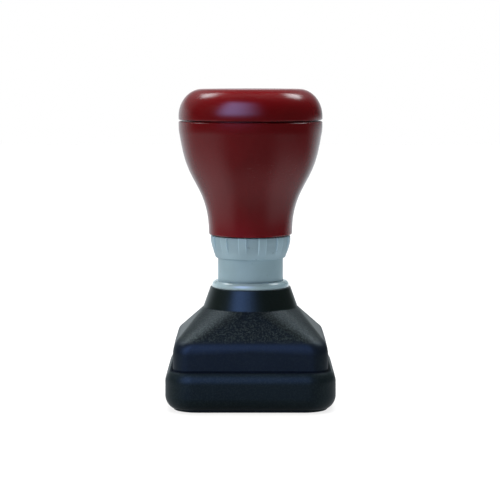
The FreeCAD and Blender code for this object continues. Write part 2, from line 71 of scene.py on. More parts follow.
# %% A socket that can be added and multiplied
class Value:
    """A socket of a node tree; arithmetic on it adds Math nodes."""

    def __init__(self, wiring, socket):
        self.wiring = wiring
        self.socket = socket

    def math(self, operation, *others):
        return self.wiring.calculate(operation, self, *others)

    def __add__(self, other):
        return self.math("ADD", other)

    __radd__ = __add__

    def __mul__(self, other):
        return self.math("MULTIPLY", other)

    __rmul__ = __mul__

    def __sub__(self, other):
        return self.math("SUBTRACT", other)

    def __rsub__(self, other):
        return self.wiring.calculate("SUBTRACT", other, self)

    def __truediv__(self, other):
        return self.math("DIVIDE", other)

    def size(self):
        return self.math("ABSOLUTE")

    def step(self, low, high):
        """0 below low, 1 above high, and a smooth rise between."""
        settings = {"interpolation_type": "SMOOTHSTEP"}
        inputs = {"Value": self, "From Min": low, "From Max": high}
        return self.wiring.node("ShaderNodeMapRange", settings, inputs)

    def step_mm(self, low, high):
        return self.step(low * MM, high * MM)


class Wiring:
    """A node tree under construction."""

    def __init__(self, tree):
        self.tree = tree

    def node(self, kind, settings, inputs, output=0):
        """Adds a node: its settings first, then a value or a link for each input."""
        made = self.tree.nodes.new(kind)
        for key, value in settings.items():
            setattr(made, key, value)
        pairs = inputs.items() if isinstance(inputs, dict) else enumerate(inputs)
        for key, value in pairs:
            socket = made.inputs[key]
            if isinstance(value, Value):
                self.tree.links.new(value.socket, socket)
            else:
                socket.default_value = value
        return Value(self, made.outputs[output])

    def calculate(self, operation, *terms):
        return self.node("ShaderNodeMath", {"operation": operation}, terms)

    def lead(self, value, node, socket):
        """Leads a value into a node that the tree already has."""
        self.tree.links.new(value.socket, self.tree.nodes[node].inputs[socket])


def between(share, first, second):
    """The first number where share is 0, the second where it is 1."""
    return first + share * (second - first)


print("node helpers ready")

# %% [markdown]
# ## Patterns and finishes
# Every finish is made of the same few patterns: a noise, a stretched noise, hairlines where one
# crosses its middle, and masks over height. They read the object's own coordinates, so a pattern
# has its real scale and rides along with the piece. A finish has one Principled surface: what is
# the same all over is set on its sockets, and what changes over the surface is wired in at the end.

# %% Patterns and finishes
class Pattern(Wiring):
    """A tree with a place to read, and the patterns that can be made from it."""

    def __init__(self, tree, coordinates):
        super().__init__(tree)
        self.place = self.node("ShaderNodeTexCoord", {}, [], coordinates)

    def axis(self, name):
        return self.node("ShaderNodeSeparateXYZ", {}, [self.place], "XYZ".index(name))

    def stretched(self, x, y, z):
        return self.node("ShaderNodeMapping", {}, {"Vector": self.place, "Scale": (x, y, z)})

    def noise(self, scale, detail=2.0, where=None, roughness=0.5):
        inputs = {"Vector": where or self.place, "Scale": scale, "Detail": detail, "Roughness": roughness}
        return self.node("ShaderNodeTexNoise", {}, inputs)

    def hairlines(self, scale, width, *stretch):
        """Fine lines where a stretched noise crosses its middle value."""
        field = self.noise(scale, 1.0, self.stretched(*stretch))
        return 1.0 - (field - 0.5).size().step(0.0, width)

    def mix(self, share, first, second):
        """The first colour where share is 0, the second where it is 1."""
        colours = [value if isinstance(value, Value) else (*value, 1.0) for value in (first, second)]
        inputs = {0: share, 6: colours[0], 7: colours[1]}
        return self.node("ShaderNodeMix", {"data_type": "RGBA"}, inputs, 2)

    def bump(self, height, strength, depth_mm):
        inputs = {"Strength": strength, "Distance": depth_mm * MM, "Height": height}
        return self.node("ShaderNodeBump", {}, inputs)

    def ray(self, label):
        """1 for rays of this kind, such as Is Camera Ray."""
        return self.node("ShaderNodeLightPath", {}, [], label)


class Finish(Pattern):
    """A material with one Principled surface."""

    def __init__(self, name, **constants):
        self.material = bpy.data.materials.new(name)
        self.material.use_nodes = True
        super().__init__(self.material.node_tree, "Object")
        self.surface = self.tree.nodes["Principled BSDF"]
        for socket, value in constants.items():
            self.surface.inputs[socket.replace("_", " ")].default_value = value

    def wear(self, **links):
        """Feeds what changes over the surface into the shader."""
        for socket, value in links.items():
            self.lead(value, "Principled BSDF", socket.replace("_", " "))
        return self.material


def shade(colour, times):
    """The colour, so many times as bright."""
    return tuple(times * part for part in colour)


print("patterns ready")

# %% [markdown]
# ## Burgundy plastic
# Cap and handle are one deep red plastic, moulded in a polished tool. Close up it isn't one colour:
# the pigment clouds a little, the surface has a faint orange peel, hairlines run every way from
# years in desk drawers, and the rims of the parting lines are rubbed paler and smoother. Towards
# the handle's foot the red is painted brighter, as painted light on the neck. A thin coat gives
# sharp studio lights above the soft body reflection.

# %% The burgundy finish
RIM_LINES_MM, RIM_REACH_MM = (68.7, 40.95), 0.75
FOOT_FADE_MM, FOOT_SHARE = (41.0, 50.0), 0.8
DEEP_RED, CLOUDED_RED = (0.11, 0.002, 0.0034), (0.124, 0.0024, 0.004)
# The foot's red is painted light: brighter than the body, for the light on the handle's neck.
FOOT_LIT_RED, DUSTY_RED, RUBBED_RED = (0.15, 0.0026, 0.0056), (0.22, 0.06, 0.06), (0.21, 0.018, 0.022)


def rim_wear(finish):
    """1 near each level rim and 0 away from it, broken up by a noise."""
    height = finish.axis("Z")
    rims = [1.0 - (height - line * MM).size().step_mm(0.0, RIM_REACH_MM) for line in RIM_LINES_MM]
    return sum(rims) * finish.noise(420.0, 3.0).step(0.42, 0.68)


def burgundy():
    finish = Finish("burgundy_plastic", IOR=1.47, Coat_Roughness=0.2, Specular_IOR_Level=0.45)
    cloud = finish.noise(90.0, 3.0)
    rubbed = rim_wear(finish)
    across = finish.hairlines(260.0, 0.004, 1.0, 1.0, 7.0)
    along = finish.hairlines(210.0, 0.003, 5.0, 5.0, 1.0)
    scratched = (across + along) * finish.noise(60.0).step(0.5, 0.7)
    low = 1.0 - finish.axis("Z").step_mm(*FOOT_FADE_MM)
    deep = finish.mix(cloud.step(0.3, 0.75), DEEP_RED, CLOUDED_RED)
    # painted light: the handle's foot is made brighter red, where the neck catches more light
    lit_foot = finish.mix(low * FOOT_SHARE, deep, FOOT_LIT_RED)
    dusted = finish.mix(scratched * 0.1, lit_foot, DUSTY_RED)
    peel = finish.noise(1300.0) * 0.5 + finish.noise(320.0)
    return finish.wear(
        Base_Color=finish.mix(rubbed * 0.35, dusted, RUBBED_RED),
        Roughness=0.21 + cloud * 0.06 + scratched * 0.12 - rubbed * 0.05,
        Coat_Weight=0.18 + cloud * 0.08,
        Normal=finish.bump(peel - scratched * 0.4, 0.1, 0.06),
    )


BURGUNDY = burgundy()
print(BURGUNDY.name, len(BURGUNDY.node_tree.nodes), "nodes")

# %% [markdown]
# ## Blue-grey plastic
# Stem, flange and grip ring are a matt blue-grey plastic with the fine even grain of a blasted
# tool and a slight pearly clouding; the ring's recessed fields are made darker. The stem has faint
# rub marks up and down, the way it slides. The flange has a polished skin, which is a full coat here.

# %% The blue-grey finishes
FIELD_COUNT, FIELD_HALF_ANGLE, FIELD_TURN = 12, 9.0, 3.0
FIELD_RISE_MM = (36.1, 38.4)
SPECK_GREY = (0.1, 0.12, 0.13)


def ring_fields(finish):
    """1 in the ring's recessed fields, and 1 along the rubbed edges of its ribs."""
    turn = finish.axis("Y").math("ARCTAN2", finish.axis("X")) * (180 / math.pi)
    share = ((turn - FIELD_TURN) * (FIELD_COUNT / 360) + 20.5).math("FRACT") - 0.5
    off = share.size() * (360 / FIELD_COUNT)
    rise = finish.axis("Z").step_mm(*FIELD_RISE_MM)
    rim = 1.0 - (off - FIELD_HALF_ANGLE - 0.4).size().step(0.3, 1.1)
    return (1.0 - off.step(FIELD_HALF_ANGLE - 0.8, FIELD_HALF_ANGLE)) * rise, rim * rise


def blue_grey(name, base, rub_share, roughness, hollows=None, coat=0.0):
    finish = Finish(name, IOR=1.46, Specular_IOR_Level=0.5, Coat_Weight=coat, Coat_Roughness=0.16)
    cloud = finish.noise(140.0, 3.0)
    grain = finish.noise(2600.0)
    rubs = finish.hairlines(300.0, 0.006, 4.0, 4.0, 0.35)
    rubs = rubs * finish.noise(45.0).step(0.45, 0.7) * rub_share
    specks = finish.noise(900.0, 1.0).step(0.72, 0.76)
    body = finish.mix(cloud.step(0.3, 0.7), shade(base, 0.9), base)
    marked = finish.mix(rubs * 0.3, body, shade(base, 1.25))
    if hollows:
        sunk, rim = hollows(finish)
        # the recessed fields are made darker
        marked = finish.mix(sunk * 0.35, marked, shade(base, 0.72))
        marked = finish.mix(rim * 0.55, marked, shade(base, 1.6))
    return finish.wear(
        Base_Color=finish.mix(specks * 0.25, marked, SPECK_GREY),
        Roughness=roughness + cloud * 0.08 - rubs * 0.1,
        Normal=finish.bump(grain + rubs * 0.5, 0.12, 0.04),
    )


RING_GREY = blue_grey("ring_grey_plastic", (0.29, 0.415, 0.485), 0.3, 0.36, ring_fields)
STEM_GREY = blue_grey("stem_grey_plastic", (0.294, 0.425, 0.49), 1.0, 0.36)
BUSH_GREY = blue_grey("bush_grey_plastic", (0.4, 0.545, 0.61), 0.3, 0.13, coat=1.0)
print("blue-grey finishes ready")

# %% [markdown]
# ## Black plastics
# The lower half is black, but no two faces look alike. The roof is spark-eroded: a coarse grain
# breaks reflections into pale specks. The walls are satin and the collar is smoother. Every black
# has a band of painted shade at the height of the seam over the cover, where the gap between skirt
# and cover falls dark. One builder makes all four blacks; on the housing, masks over height set
# grain and polish. Blacks mirror a little blue, which is a specular tint.

# %% The black finishes
SEAM_MM, SEAM_FADE_MM = 9.75, (0.1, 0.5)
ROOF_FADE_MM, COLLAR_FADE_MM = (16.1, 17.4), (23.1, 23.4)
ROOF_BLACK, COLLAR_BLACK = (0.003, 0.0049, 0.0064), (0.0075, 0.0115, 0.0105)
# The seam colour is painted shade: the gap over the cover falls dark.
GRAIN_GREY, SEAM_SHADE_BLACK, COOL_MIRROR = (0.026, 0.035, 0.034), (0.001, 0.0012, 0.002), (0.62, 0.86, 1.0, 1.0)


def roof_and_collar(finish):
    """Two masks by height: the grained roof, and the smoother collar above it."""
    height = finish.axis("Z")
    collar = height.step_mm(*COLLAR_FADE_MM)
    return height.step_mm(*ROOF_FADE_MM) * (1.0 - collar), collar


def black(name, base, depth, roughness, sheen, masks=None):
    finish = Finish(name, IOR=1.46, Specular_IOR_Level=sheen, Specular_Tint=COOL_MIRROR)
    coarse = finish.noise(2300.0, 3.0, roughness=0.75)
    fine = finish.noise(5200.0)
    cloud = finish.noise(120.0, 3.0)
    lines = finish.hairlines(240.0, 0.004, 1.0, 1.0, 3.0)
    lines = lines * finish.noise(55.0).step(0.5, 0.7)
    # painted shade: a dark band at the seam's height, where the gap between skirt and cover falls dark
    seam_shade = 1.0 - (finish.axis("Z") - SEAM_MM * MM).size().step_mm(*SEAM_FADE_MM)
    body = finish.mix(cloud.step(0.3, 0.7), base, shade(base, 1.25))
    specks, relief, rough = coarse.step(0.47, 0.6), coarse, roughness + coarse * 0.06
    if masks:
        grained, polished = masks(finish)
        specks = specks * between(grained, 0.14, 1.0)
        relief = coarse * between(grained, 0.12, 1.0)
        rough = rough - grained * 0.06 - polished * 0.12
        body = finish.mix(grained, body, ROOF_BLACK)
        body = finish.mix(polished, body, COLLAR_BLACK)
    else:
        specks = specks * 0.25
    speckled = finish.mix(specks, body, GRAIN_GREY)
    scratched = finish.mix(lines * 0.25, speckled, shade(base, 4.0))
    return finish.wear(
        Base_Color=finish.mix(seam_shade * 0.75, scratched, SEAM_SHADE_BLACK),
        Roughness=rough + lines * 0.1 + seam_shade * 0.4,
        Normal=finish.bump(relief + fine * 0.15, depth, 0.1),
    )


HOUSING_BLACK = black("housing_black_plastic", (0.0042, 0.0066, 0.0118), 0.45, 0.4, 0.34, roof_and_collar)
COVER_BLACK = black("cover_black_plastic", (0.005, 0.0085, 0.0098), 0.1, 0.38, 0.29)
FRAME_BLACK = black("frame_black_plastic", (0.012, 0.012, 0.014), 0.18, 0.42, 0.4)
PLUG_BLACK = black("plug_black_plastic", (0.014, 0.014, 0.015), 0.14, 0.4, 0.4)
print("black finishes ready")

# %% [markdown]
# ## Metals, rubber and felt
# These hide inside: zinc-plated washers and nut, the turned alloy rod, oiled spring wire, gaskets,
# the felt that holds the ink and the foam rubber that prints. They show when cap or cover is off. A
# turned rod has rings round its axis, which are a noise squeezed along Z. Felt is short fibres,
# which are a noise stretched two ways.

# %% Metal, rubber and felt finishes
def metal(name, base, roughness, ring_scale):
    finish = Finish(name, Metallic=1.0)
    rings = finish.noise(ring_scale, 2.0, finish.stretched(0.15, 0.15, 6.0))
    stain = finish.noise(160.0, 3.0).step(0.45, 0.75)
    return finish.wear(
        Base_Color=finish.mix(stain * 0.5, base, shade(base, 0.62)),
        Roughness=roughness + rings * 0.14 + stain * 0.1,
        Normal=finish.bump(rings, 0.15, 0.03),
    )


def rubber(name, base, pore_scale, pore_depth):
    finish = Finish(name, IOR=1.45, Specular_IOR_Level=0.35)
    inputs = {"Vector": finish.place, "Scale": pore_scale}
    pores = 1.0 - finish.node("ShaderNodeTexVoronoi", {"feature": "F1"}, inputs).step(0.08, 0.34)
    tone = finish.noise(200.0, 4.0)
    damp = finish.noise(90.0).step(0.4, 0.7)
    mottled = finish.mix(tone.step(0.3, 0.7), shade(base, 0.8), base)
    return finish.wear(
        Base_Color=finish.mix(pores * 0.8, mottled, shade(base, 0.45)),
        Roughness=0.75 - damp * 0.25 + pores * 0.1,
        Normal=finish.bump(1.0 - pores, pore_depth, 0.12),
    )


def felt(name, base):
    finish = Finish(name, IOR=1.4, Specular_IOR_Level=0.2)
    one_way = finish.noise(700.0, 3.0, finish.stretched(0.3, 1.6, 1.0))
    other_way = finish.noise(700.0, 3.0, finish.stretched(1.6, 0.3, 1.0))
    fibres = one_way * 0.5 + other_way * 0.5
    wet = finish.noise(60.0, 3.0)
    return finish.wear(
        Base_Color=finish.mix(fibres.step(0.4, 0.62), base, shade(base, 1.7)),
        Roughness=0.9 - wet * 0.15,
        Normal=finish.bump(fibres, 0.6, 0.2),
    )


STEEL = metal("zinc_plated_steel", (0.6, 0.61, 0.63), 0.28, 500.0)
WIRE = metal("oiled_spring_wire", (0.42, 0.43, 0.45), 0.25, 900.0)
ALLOY = metal("turned_alloy", (0.74, 0.75, 0.77), 0.24, 800.0)
GASKET = rubber("gasket_rubber", (0.02, 0.02, 0.021), 1500.0, 0.2)
DIE_RUBBER = rubber("porous_die_rubber", (0.085, 0.04, 0.12), 2600.0, 0.7)
PAD_FELT = felt("inked_felt", (0.05, 0.022, 0.085))
MOUNT_GREY = blue_grey("mount_grey_plastic", (0.15, 0.16, 0.17), 0.2, 0.5)
print("inner finishes ready")

# %% [markdown]
# ## Pieces from outlines
# Moulded plastic has no sharp edge: each has a radius that catches a thin line of light. So every
# outer piece is drawn as an outline whose corners have a radius, and the first helper puts the arc
# there. Turned pieces spin their outline about the stem. Square pieces use the same trick with a
# loop at every level. Loops of points are then skinned with quads.

# %% Outlines with rounded corners
ARC_STEPS = 6


def rounded_corners(corners):
    """Closed outline; each corner is a point and the radius of its arc."""
    points = []
    count = len(corners)
    for number, (corner, radius) in enumerate(corners):
        back = (corners[number - 1][0] - corner).normalized()
        onward = (corners[(number + 1) % count][0] - corner).normalized()
        turn = math.pi - back.angle(onward, math.pi)
        if radius == 0.0 or turn < 0.01:
            points.append(corner)
            continue
        reach = radius * math.tan(turn / 2)
        start, end = corner + back * reach, corner + onward * reach
        centre = corner + (back + onward).normalized() * (radius / math.cos(turn / 2))
        for step in range(ARC_STEPS + 1):
            done = turn * step / ARC_STEPS
            from_start = (start - centre) * math.sin(turn - done)
            points.append(centre + (from_start + (end - centre) * math.sin(done)) / math.sin(turn))
    return points


def outline(corners):
    """Rounded outline of a turned piece; a corner is distance, height and arc radius in mm."""
    return rounded_corners([(Vector((distance, height)), arc) for distance, height, arc in corners])


print("a quarter turn in", ARC_STEPS, "steps")

# %% Loops, skins and finished meshes
import bmesh

ROUND_STEPS = 192


def skin(name, loops, closed, wrapped=True):
    """Piece of quads between loops of one length, in mm; a loop with one place is a pole."""
    vertices, rows, faces = [], [], []
    for loop in loops:
        points = [Vector(point) * MM for point in loop]
        if all((point - points[0]).length < 1e-9 for point in points):
            points = points[:1]
        rows.append(range(len(vertices), len(vertices) + len(points)))
        vertices.extend(points)
    pairs = list(zip(rows, rows[1:]))
    if closed:
        pairs.append((rows[-1], rows[0]))
    for low, high in pairs:
        for number in range(max(len(low), len(high)) - (0 if wrapped else 1)):
            corners = [row[step % len(row)] for row, step in
                       ((low, number), (low, number + 1), (high, number + 1), (high, number))]
            face = list(dict.fromkeys(corners))
            if len(face) > 2:
                faces.append(face)
    mesh = bpy.data.meshes.new(name)
    mesh.from_pydata(vertices, [], faces)
    return as_piece(name, mesh)


def cleaned(mesh):
    """The mesh with doubles merged, its faces turned outwards and smooth."""
    work = bmesh.new()
    work.from_mesh(mesh)
    bmesh.ops.remove_doubles(work, verts=work.verts, dist=1e-7)
    bmesh.ops.recalc_face_normals(work, faces=work.faces)
    for face in work.faces:
        face.smooth = True
    work.to_mesh(mesh)
    work.free()
    return mesh


def as_piece(name, mesh):
    piece = bpy.data.objects.new(name, cleaned(mesh))
    bpy.context.scene.collection.objects.link(piece)
    return piece


def baked(piece):
    """The piece with its modifiers turned into plain mesh."""
    bpy.context.view_layer.update()
    seen = piece.evaluated_get(bpy.context.evaluated_depsgraph_get())
    mesh = bpy.data.meshes.new_from_object(seen)
    piece.modifiers.clear()
    piece.data = mesh
    return piece


def weighted(piece):
    """Normals led by the larger faces, so that flats stay flat beside small roundings."""
    piece.modifiers.new("weighted", "WEIGHTED_NORMAL")
    return baked(piece)


def at_turn(distance, height, turn):
    """Point at this distance from the stem's axis, at an angle in radians."""
    return distance * math.cos(turn), distance * math.sin(turn), height


def turned_piece(name, corners):
    """Solid of revolution from an outline's corners."""
    rings = []
    for distance, height in outline(corners):
        steps = ROUND_STEPS if distance > 1e-6 else 1
        rings.append([at_turn(distance, height, 2 * math.pi * step / steps) for step in range(steps)])
    return weighted(skin(name, rings, True))


print("a full turn in", ROUND_STEPS, "steps")

# %% A piece takes the place of its CAD node
def box_mm(node):
    low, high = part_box(node)
    return low / MM, high / MM


def settle(piece, body, node, material):
    """The piece takes its finish and rides on its body in place of its CAD node."""
    piece.data.materials.clear()
    piece.data.materials.append(material)
    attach(piece, body)
    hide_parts(node)
    heights = [point.co.z / MM for point in piece.data.vertices]
    low, high = box_mm(node)
    print(piece.name, len(piece.data.polygons), "faces from", round(min(heights), 2), "to",
          round(max(heights), 2), "mm; CAD from", round(low.z, 2), "to", round(high.z, 2))


bush_low, bush_high = box_mm("guide_bush")
housing_low, housing_high = box_mm("skirt_housing")
stem_low, stem_high = box_mm("stem_sleeve")
print("stem from", round(stem_low.z, 2), "to", round(stem_high.z, 2), "mm")

# %% [markdown]
# ## The flanged guide and the stem
# The bright bead between grey stem and black collar is the flange of the guide bush, a soft
# quarter-round that carries two window lights. It is turned from one outline with a generous arc
# there. The stem is a plain tube: its looks come from the finish and the rounding at its ends.

# %% Guide bush and stem
BUSH_WALL, BUSH_BORE, ROD_BORE, BUSH_FLOOR = 0.85, 8.03, 4.48, 1.2
SLEEVE_BORE = 6.68
flange_foot = housing_high.z
bush_side, bush_floor = BUSH_BORE + BUSH_WALL, bush_low.z + BUSH_FLOOR
bush = [
    (ROD_BORE, bush_low.z, 0.1),
    (bush_side, bush_low.z, 0.2),
    (bush_side, flange_foot, 0.0),
    (bush_high.x, flange_foot, 0.15),
    (bush_high.x, bush_high.z, 1.15),
    (BUSH_BORE, bush_high.z, 0.12),
    (BUSH_BORE, bush_floor, 0.1),
    (ROD_BORE, bush_floor, 0.1),
]
settle(turned_piece("guide_flange", bush), "housing", "guide_bush", BUSH_GREY)
stem = [
    (SLEEVE_BORE, stem_low.z, 0.2),
    (stem_high.x, stem_low.z, 0.25),
    (stem_high.x, stem_high.z, 0.2),
    (SLEEVE_BORE, stem_high.z, 0.2),
]
settle(turned_piece("stem_tube", stem), "stop_sleeve", "stem_sleeve", STEM_GREY)

# %% [markdown]
# ## Square pieces in levels
# The housing's roof has four panels and four cone-shaped corners that run up to a circle. Modelled
# face by face it would have dents. Instead each level is a loop with the same count of points, a
# rounded square below and a circle above, and every upright section through the levels is rounded
# where they say. Cover, print face and ink pad are made the same way.

# %% Loops of a square, and pieces through levels
CORNER_STEPS, SIDE_STEPS = 26, 2
CIRCLE_FLAT = 0.1


def square_loop(half, corner, height):
    """Points round a rounded square: a side, a corner, and so on four times."""
    loop = []
    flat = half - corner
    for quarter in range(4):
        across = Matrix.Rotation(math.pi / 2 * quarter, 2)
        points = [(half, flat * (2 * step / SIDE_STEPS - 1)) for step in range(SIDE_STEPS)]
        for step in range(CORNER_STEPS):
            bend = math.pi / 2 * step / CORNER_STEPS
            points.append((flat + corner * math.cos(bend), flat + corner * math.sin(bend)))
        loop.extend((*(across @ Vector(point)), height) for point in points)
    return loop


def circle(radius):
    """Half size and corner of a round level; a sliver of flat keeps the points of its sides apart."""
    return radius, radius - CIRCLE_FLAT


def levelled_piece(name, levels, closed):
    """Piece through levels of half size, corner, height and rounding; a level of no size is a pole."""
    loops = [square_loop(*level[:3]) for level in levels]
    arcs = [level[3] for level in levels]
    sections = [rounded_corners(list(zip(map(Vector, places), arcs))) for places in zip(*loops)]
    return weighted(skin(name, zip(*sections), closed))


print(len(square_loop(1.0, 0.5, 0.0)), "points in a loop")

# %% [markdown]
# ## The housing
# The levels run up the outside, over skirt, shoulder, roof and collar, and down again inside, so
# that the moulding has its real wall when one looks into its mouth. The wide shoulder rounding
# carries the blue band of window light above the skirt.

# %% Skirt, roof and collar
SHOULDER_Z, ROOF_Z, CEILING_Z, ROOF_DROP = 15.6, 23.15, 21.35, 0.7
SHOULDER_ROUND, WALL_DRAFT = 3.4, 0.1
SKIRT_WALL, SKIRT_CORNER = 1.6, 4.0
COLLAR_RADIUS, ROOF_RADIUS, COLLAR_BORE, CEILING_STEP = 9.84, 11.56, 8.92, 0.2
skirt_half, skirt_foot, collar_top = housing_high.x, housing_low.z, housing_high.z
inner_half, inner_corner = skirt_half - SKIRT_WALL, SKIRT_CORNER - SKIRT_WALL
housing = levelled_piece("housing_shell", [
    (skirt_half, SKIRT_CORNER, skirt_foot, 0.25),
    (skirt_half - WALL_DRAFT, SKIRT_CORNER, SHOULDER_Z, SHOULDER_ROUND),
    (*circle(ROOF_RADIUS), ROOF_Z, 0.35),
    (*circle(COLLAR_RADIUS), collar_top, 0.15),
    (*circle(COLLAR_BORE), collar_top, 0.05),
    (*circle(COLLAR_BORE), CEILING_Z, 0.05),
    (*circle(ROOF_RADIUS + CEILING_STEP), CEILING_Z, 0.5),
    (inner_half - WALL_DRAFT, inner_corner, SHOULDER_Z - ROOF_DROP, 1.0),
    (inner_half, inner_corner, skirt_foot, 0.2),
], closed=True)
settle(housing, "housing", "skirt_housing", HOUSING_BLACK)

# %% [markdown]
# ## The cover
# The tray that keeps the print face clean has a big rounding under its edge, another at its lip
# and a foot set back in shadow. Each rounding is a run of levels, so that the blue window light
# along its shoulder comes out as an even band.

# %% Dust cover
cover_low, cover_high = box_mm("dust_cover")
cover_half, cover_foot, cover_rim = cover_high.x, cover_low.z, cover_high.z
COVER_CORNER, FOOT_INSET, FOOT_HEIGHT, COVER_FLOOR = 6.8, 1.9, 0.7, 0.95
FOOT_ROUND, LIP_ROUND, LIP_RISE = 3.6, 3.4, 0.7
COVER_SLIP, LEDGE_WIDTH = 0.15, 1.45
BAND_STEPS = 10


def round_band(radius, centre_z, first_z, last_z):
    """Levels over the quarter-round edge between two heights."""
    levels = []
    first, last = (math.asin((height - centre_z) / radius) for height in (first_z, last_z))
    for step in range(BAND_STEPS + 1):
        tilt = first + (last - first) * step / BAND_STEPS
        inset = radius * (1 - math.cos(tilt))
        height = centre_z + radius * math.sin(tilt)
        levels.append((cover_half - inset, COVER_CORNER - inset, height, 0.0))
    return levels


foot_half, foot_corner = cover_half - FOOT_INSET, COVER_CORNER - FOOT_INSET / 2
bore_half, bore_corner = skirt_half + COVER_SLIP, SKIRT_CORNER + COVER_SLIP
tray_half, tray_corner = bore_half - LEDGE_WIDTH, bore_corner - LEDGE_WIDTH
lip_centre = cover_rim + LIP_RISE - LIP_ROUND
lip_band = round_band(LIP_ROUND, lip_centre, lip_centre, cover_rim)
lip_band[-1] = (*lip_band[-1][:3], 0.08)
tray_floor = FOOT_HEIGHT + COVER_FLOOR
cover = levelled_piece("cover_tray", [
    (foot_half, foot_corner, cover_foot, 0.25),
    (foot_half, foot_corner, FOOT_HEIGHT, 0.05),
    *round_band(FOOT_ROUND, FOOT_ROUND, FOOT_HEIGHT, FOOT_ROUND),
    *lip_band,
    (bore_half, bore_corner, cover_rim, 0.1),
    (bore_half, bore_corner, skirt_foot, 0.05),
    (tray_half, tray_corner, skirt_foot, 0.15),
    (tray_half, tray_corner, tray_floor, 0.3),
    (0.0, 0.0, tray_floor, 0.0),
    (0.0, 0.0, cover_foot, 0.0),
], closed=True)
settle(cover, "cover", "dust_cover", COVER_BLACK)

# %% [markdown]
# ## The cap
# The cap is turned: a short straight side, an elliptic shoulder and a top with the faintest crown.
# The shoulder is one Bezier curve, because its light should slide over it without a break. Inside
# it is hollow, with a step where it sits on the handle's raised ring.

# %% Handle cap
from mathutils.geometry import interpolate_bezier

cap_low, cap_high = box_mm("handle_cap")
CAP_SIDE, CAP_RUN, CAP_CROWN, CAP_WALL = 0.85, 5.7, 0.1, 1.6
CAP_MOUTH, CAP_STEP, RIM_ROUND = 16.8, 1.7, 0.25
CAP_COVE, SHOULDER_STEPS, CROWN_STEPS = 0.6, 28, 5


def elliptic_shoulder(flat, low, run, rise):
    """Quarter of an ellipse as corners of distance, height and no rounding."""
    pull = 4 * (math.sqrt(2) - 1) / 3
    shares = (1, 0), (1, pull), (pull, 1), (0, 1)
    handles = [Vector((flat + run * along, low + rise * up)) for along, up in shares]
    return [(*point, 0.0) for point in interpolate_bezier(*handles, SHOULDER_STEPS)]


knob, cap_step = cap_high.x, cap_low.z + CAP_STEP
side_top, brow = cap_low.z + CAP_SIDE, cap_high.z - CAP_CROWN
cap_flat, cap_hollow, cap_ceiling = knob - CAP_RUN, knob - CAP_WALL, cap_high.z - CAP_WALL
shares = [step / CROWN_STEPS for step in reversed(range(CROWN_STEPS))]
crown = [(cap_flat * share, cap_high.z - CAP_CROWN * share * share, 0.0) for share in shares]
cap = [
    (knob, cap_low.z, RIM_ROUND),
    *elliptic_shoulder(cap_flat, side_top, CAP_RUN, brow - side_top),
    *crown,
    (0.0, cap_ceiling, 0.0),
    (cap_hollow - CAP_RUN, cap_ceiling, 1.5),
    (cap_hollow, cap_step + CAP_COVE, CAP_COVE),
    (cap_hollow, cap_step, 0.0),
    (CAP_MOUTH, cap_step, 0.0),
    (CAP_MOUTH, cap_low.z, 0.1),
]
settle(turned_piece("cap_dome", cap), "cap", "handle_cap", BURGUNDY)

# %% [markdown]
# ## What repeats round the axis
# The grip ring has twelve recessed fields, the filler plug eight flutes, the nut six flats. One
# sector of each is enough: Geometry Nodes turns copies of it about the axis and welds them into one
# skin. Count and first angle are inputs, so the fields can stand as they do in the photograph.

# %% A tree that turns one sector about the axis
class Recipe(Wiring):
    """A Geometry Nodes tree with named inputs."""

    def __init__(self, name, **inputs):
        super().__init__(bpy.data.node_groups.new(name, "GeometryNodeTree"))
        self.sockets = {}
        for socket, kind in {"Geometry": "Geometry", **inputs}.items():
            label, kind = socket.replace("_", " "), "NodeSocket" + kind
            self.sockets[label] = self.tree.interface.new_socket(label, in_out="INPUT", socket_type=kind)
        self.tree.interface.new_socket("Geometry", in_out="OUTPUT", socket_type="NodeSocketGeometry")
        self.entry = self.tree.nodes.new("NodeGroupInput")
        self.tree.nodes.new("NodeGroupOutput")

    def given(self, label):
        return Value(self, self.entry.outputs[label])

    def end(self, geometry):
        """Real copies in the given finish are what the tree makes."""
        real = self.node("GeometryNodeRealizeInstances", {}, {"Geometry": geometry})
        inputs = {"Geometry": real, "Material": self.given("Finish")}
        self.lead(self.node("GeometryNodeSetMaterial", {}, inputs), "Group Output", 0)

    def grow(self, piece, **values):
        """Runs the tree on a piece with these inputs and leaves plain mesh."""
        modifier = piece.modifiers.new(self.tree.name, "NODES")
        modifier.node_group = self.tree
        for socket, value in values.items():
            modifier[self.sockets[socket.replace("_", " ")].identifier] = value
        cleaned(baked(piece).data)


def sector_recipe():
    recipe = Recipe("turned_sectors", Count="Int", First_Angle="Float", Weld="Float", Finish="Material")
    add, given = recipe.node, recipe.given
    places = add("GeometryNodeMeshLine", {}, {"Count": given("Count"), "Offset": (0.0, 0.0, 0.0)})
    number = add("GeometryNodeInputIndex", {}, {})
    angle = number * 2 * math.pi / given("Count") + given("First Angle")
    turn = add("ShaderNodeCombineXYZ", {}, {"Z": angle})
    inputs = {"Points": places, "Instance": given("Geometry"), "Rotation": turn}
    copies = add("GeometryNodeInstanceOnPoints", {}, inputs)
    real = add("GeometryNodeRealizeInstances", {}, {"Geometry": copies})
    welded = add("GeometryNodeMergeByDistance", {}, {"Geometry": real, "Distance": given("Weld")})
    recipe.end(add("GeometryNodeSetShadeSmooth", {}, {"Geometry": welded}))
    return recipe


SECTORS = sector_recipe()
WELD_MM = 0.002


def sector_piece(name, profile, angles, count, first, finish, wrapped=True):
    """One sector from profiles at angles, in degrees, then copies of it all round."""
    loops = []
    for angle in angles:
        turn = math.radians(angle)
        loops.append([at_turn(distance, height, turn) for distance, height in profile(angle)])
    piece = skin(name, loops, False, wrapped)
    SECTORS.grow(piece, Count=count, First_Angle=math.radians(first), Weld=WELD_MM * MM, Finish=finish)
    return weighted(piece)


def both_sides(angles):
    """The angles from 0 upwards, and before them the same ones below 0."""
    return [-angle for angle in reversed(angles[1:])] + angles


print("sector tree", len(SECTORS.tree.nodes), "nodes")

